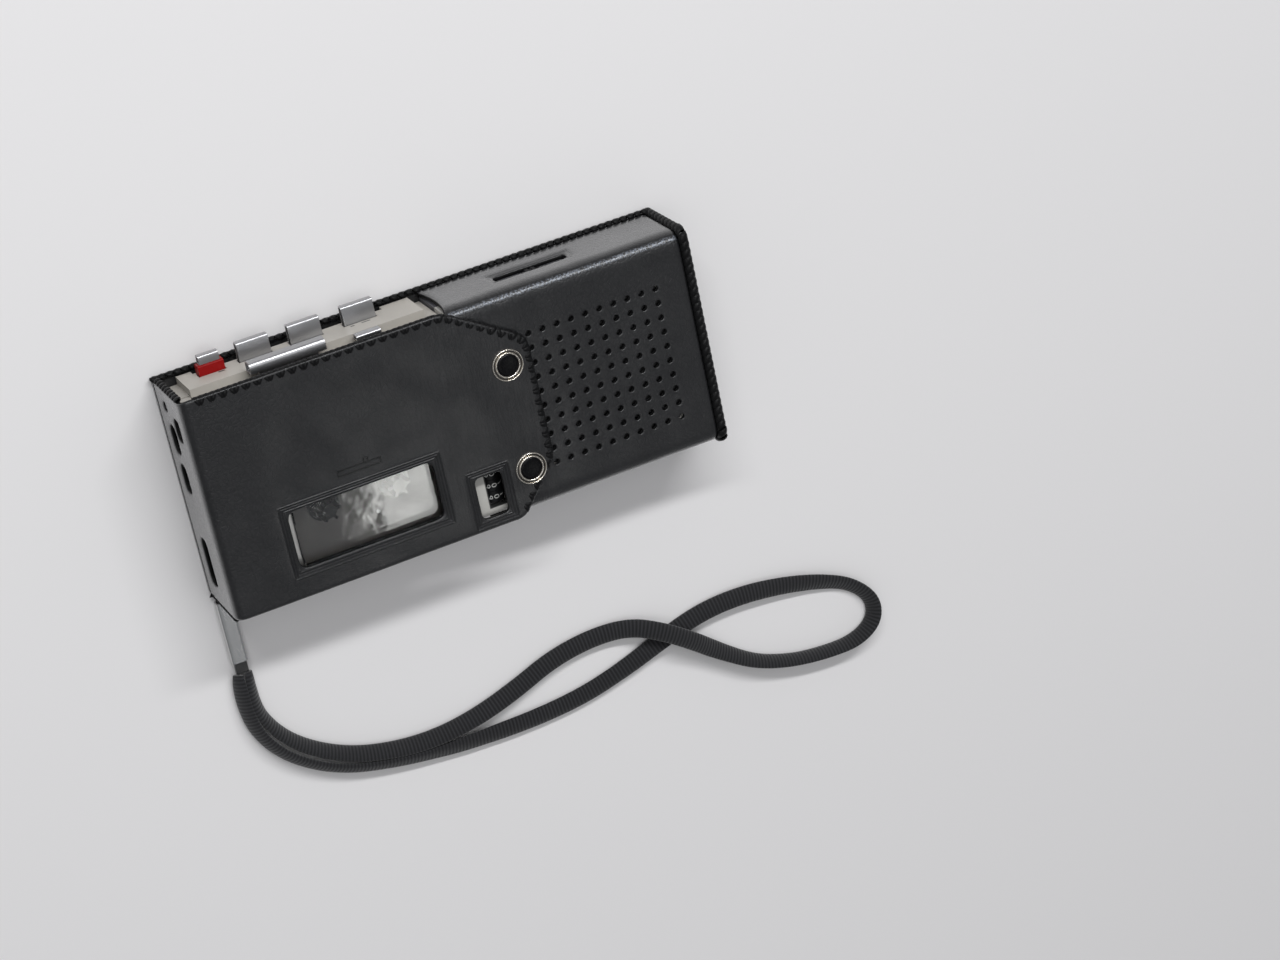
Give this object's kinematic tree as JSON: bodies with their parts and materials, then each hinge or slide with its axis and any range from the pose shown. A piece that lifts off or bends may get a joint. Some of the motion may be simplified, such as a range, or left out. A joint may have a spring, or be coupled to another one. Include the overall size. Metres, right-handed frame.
{
  "type": "dictation machine",
  "caption": "Hand-held microcassette dictation recorder in a laced black leather case with a snap flap, side keys, speaker holes and wrist strap.",
  "frame": {"origin": "on the resting surface, below the middle of the case and its keys, with the strap left out", "axes": "+X along the case towards the loudspeaker end, +Y out of the side with the keys, +Z out of the front face, which looks up"},
  "size_m": [0.198, 0.1605, 0.0266],
  "materials": {
    "case_leather": "satin",
    "seam_leather": "satin",
    "snap_nickel": "polished",
    "snap_black": "satin",
    "clasp_chrome": "polished",
    "clear_vinyl": "gloss",
    "strap_braid": "matte",
    "rear_plastic": "matte",
    "front_plastic": "satin",
    "zinc_steel": "satin",
    "panel_grey": "satin",
    "spring_steel": "satin",
    "key_chrome": "polished",
    "record_red": "gloss",
    "deck_steel": "satin",
    "bearing_brass": "satin",
    "spindle_black": "satin",
    "spindle_white": "satin",
    "polished_steel": "polished",
    "flywheel_brass": "satin",
    "drive_rubber": "matte",
    "motor_can": "satin",
    "head_metal": "satin",
    "lid_silver": "satin",
    "window_clear": "gloss",
    "drum_black": "matte",
    "paper_cone": "matte",
    "grille_aluminium": "satin",
    "cell_jacket": "satin",
    "board_green": "satin",
    "part_black": "satin",
    "wheel_black": "satin"
  },
  "bodies": {
    "housing": {"case_back_panel": "case_leather", "case_left_wall": "case_leather", "case_pocket": "case_leather", "case_right_panel": "case_leather", "case_binding": "seam_leather", "flap_fold": "case_leather", "snap_studs": "snap_nickel", "strap_tab": "seam_leather", "strap_clasp": "clasp_chrome", "strap_sleeve": "clear_vinyl", "wrist_strap": "strap_braid", "rear_shell": "rear_plastic", "battery_door": "rear_plastic", "front_shell": "front_plastic", "shell_screws": "zinc_steel", "side_key_panel": "panel_grey", "key_frame": "zinc_steel", "key_springs": "spring_steel", "deck_plate": "deck_steel", "capstan_bearing": "bearing_brass", "motor": "motor_can", "drive_belt": "drive_rubber", "lid_hinge_pin": "polished_steel", "counter_frame": "zinc_steel", "speaker_frame": "zinc_steel", "speaker_cone": "paper_cone", "speaker_grille": "grille_aluminium", "battery_cells": "cell_jacket", "battery_contacts": "spring_steel", "circuit_board": "board_green", "board_parts": "part_black", "signal_jacks": "part_black", "dc_jack": "part_black", "microphone": "head_metal"},
    "flap": {"case_flap": "case_leather", "snap_rings": "snap_nickel", "snap_caps": "snap_black"},
    "lid": {"cassette_lid": "lid_silver", "lid_window": "window_clear"},
    "record": {"record_button": "record_red", "record_cap": "key_chrome"},
    "rewind": {"rewind_key": "key_chrome"},
    "forward": {"forward_key": "key_chrome"},
    "play": {"play_key": "key_chrome"},
    "stop": {"stop_bar": "key_chrome"},
    "pause": {"pause_slider": "key_chrome"},
    "heads": {"head_slide": "zinc_steel", "tape_heads": "head_metal"},
    "pinch": {"pinch_arm": "zinc_steel"},
    "roller": {"pinch_roller": "drive_rubber"},
    "flywheel": {"capstan": "polished_steel", "flywheel": "flywheel_brass"},
    "pulley": {"motor_pulley": "bearing_brass"},
    "idler": {"idler_wheel": "drive_rubber"},
    "takeup": {"takeup_spindle": "spindle_white"},
    "supply": {"supply_spindle": "spindle_black"},
    "units_drum": {"counter_units_drum": "drum_black"},
    "tens_drum": {"counter_tens_drum": "drum_black"},
    "hundreds_drum": {"counter_hundreds_drum": "drum_black"},
    "volume": {"volume_wheel": "wheel_black"}
  },
  "joints": [
    {"name": "flap_hinge", "type": "hinge", "parent": "housing", "child": "flap", "pos_m": [-0.075, -0.00205, 0.024], "axis": [0, -1, 0], "range_deg": [0, 175], "deforming": ["flap_fold"]},
    {"name": "lid_hinge", "type": "hinge", "parent": "housing", "child": "lid", "pos_m": [-0.0313, -0.02995, 0.0213], "axis": [1, 0, 0], "range_deg": [0, 75]},
    {"name": "record_press", "type": "slide", "parent": "housing", "child": "record", "axis": [0, -1, 0], "range_m": [0, 0.0025], "stiffness_N_per_m": 300, "springref_m": -0.002, "deforming": ["key_springs"]},
    {"name": "rewind_press", "type": "slide", "parent": "housing", "child": "rewind", "axis": [0, -1, 0], "range_m": [0, 0.0025], "stiffness_N_per_m": 300, "springref_m": -0.002, "deforming": ["key_springs"]},
    {"name": "forward_press", "type": "slide", "parent": "housing", "child": "forward", "axis": [0, -1, 0], "range_m": [0, 0.0025], "stiffness_N_per_m": 300, "springref_m": -0.002, "deforming": ["key_springs"]},
    {"name": "play_press", "type": "slide", "parent": "housing", "child": "play", "axis": [0, -1, 0], "range_m": [0, 0.0025], "stiffness_N_per_m": 300, "springref_m": -0.002, "deforming": ["key_springs"]},
    {"name": "stop_press", "type": "slide", "parent": "housing", "child": "stop", "axis": [0, -1, 0], "range_m": [0, 0.002], "stiffness_N_per_m": 300, "springref_m": -0.002, "deforming": ["key_springs"]},
    {"name": "pause_slide", "type": "slide", "parent": "housing", "child": "pause", "axis": [1, 0, 0], "range_m": [0, 0.005]},
    {"name": "head_slide_travel", "type": "slide", "parent": "housing", "child": "heads", "axis": [0, -1, 0], "range_m": [0, 0.00305]},
    {"name": "pinch_arm_swing", "type": "hinge", "parent": "housing", "child": "pinch", "pos_m": [-0.0055, 0.00845, 0.013], "axis": [0, 0, 1], "range_deg": [0, 11.6]},
    {"name": "pinch_roller_spin", "type": "hinge", "parent": "pinch", "child": "roller", "pos_m": [-0.015, 0.0059, 0.016], "axis": [0, 0, 1], "continuous": true},
    {"name": "flywheel_spin", "type": "hinge", "parent": "housing", "child": "flywheel", "pos_m": [-0.015, 0.00015, 0.006], "axis": [0, 0, 1], "continuous": true},
    {"name": "motor_spin", "type": "hinge", "parent": "housing", "child": "pulley", "pos_m": [-0.0656, -0.00655, 0.0055], "axis": [0, 0, 1], "continuous": true},
    {"name": "idler_spin", "type": "hinge", "parent": "housing", "child": "idler", "pos_m": [-0.01746, -0.00643, 0.0085], "axis": [0, 0, 1], "continuous": true},
    {"name": "takeup_spin", "type": "hinge", "parent": "housing", "child": "takeup", "pos_m": [-0.0208, -0.01535, 0.009], "axis": [0, 0, 1], "continuous": true},
    {"name": "supply_spin", "type": "hinge", "parent": "housing", "child": "supply", "pos_m": [-0.0417, -0.01535, 0.009], "axis": [0, 0, 1], "continuous": true},
    {"name": "counter_units_spin", "type": "hinge", "parent": "housing", "child": "units_drum", "pos_m": [0.0052, -0.0277, 0.018], "axis": [0, 1, 0], "continuous": true},
    {"name": "counter_tens_spin", "type": "hinge", "parent": "housing", "child": "tens_drum", "pos_m": [0.0052, -0.02425, 0.018], "axis": [0, 1, 0], "continuous": true},
    {"name": "counter_hundreds_spin", "type": "hinge", "parent": "housing", "child": "hundreds_drum", "pos_m": [0.0052, -0.0208, 0.018], "axis": [0, 1, 0], "continuous": true},
    {"name": "volume_turn", "type": "hinge", "parent": "housing", "child": "volume", "pos_m": [0.0325, 0.02155, 0.0118], "axis": [0, 0, 1], "range_deg": [-135, 135]}
  ],
  "couplings": [
    {"joint": "lid_hinge", "follows": "flap_hinge", "ratio": 0.428},
    {"joint": "head_slide_travel", "follows": "play_press", "ratio": 1.2},
    {"joint": "pinch_arm_swing", "follows": "play_press", "rad_per_m": 80},
    {"joint": "motor_spin", "follows": "flywheel_spin", "ratio": 6},
    {"joint": "idler_spin", "follows": "flywheel_spin", "ratio": -0.75475},
    {"joint": "takeup_spin", "follows": "flywheel_spin", "ratio": 0.54546},
    {"joint": "counter_units_spin", "follows": "flywheel_spin", "ratio": 0.04},
    {"joint": "counter_tens_spin", "follows": "flywheel_spin", "ratio": 0.004},
    {"joint": "counter_hundreds_spin", "follows": "flywheel_spin", "ratio": 0.0004}
  ]
}
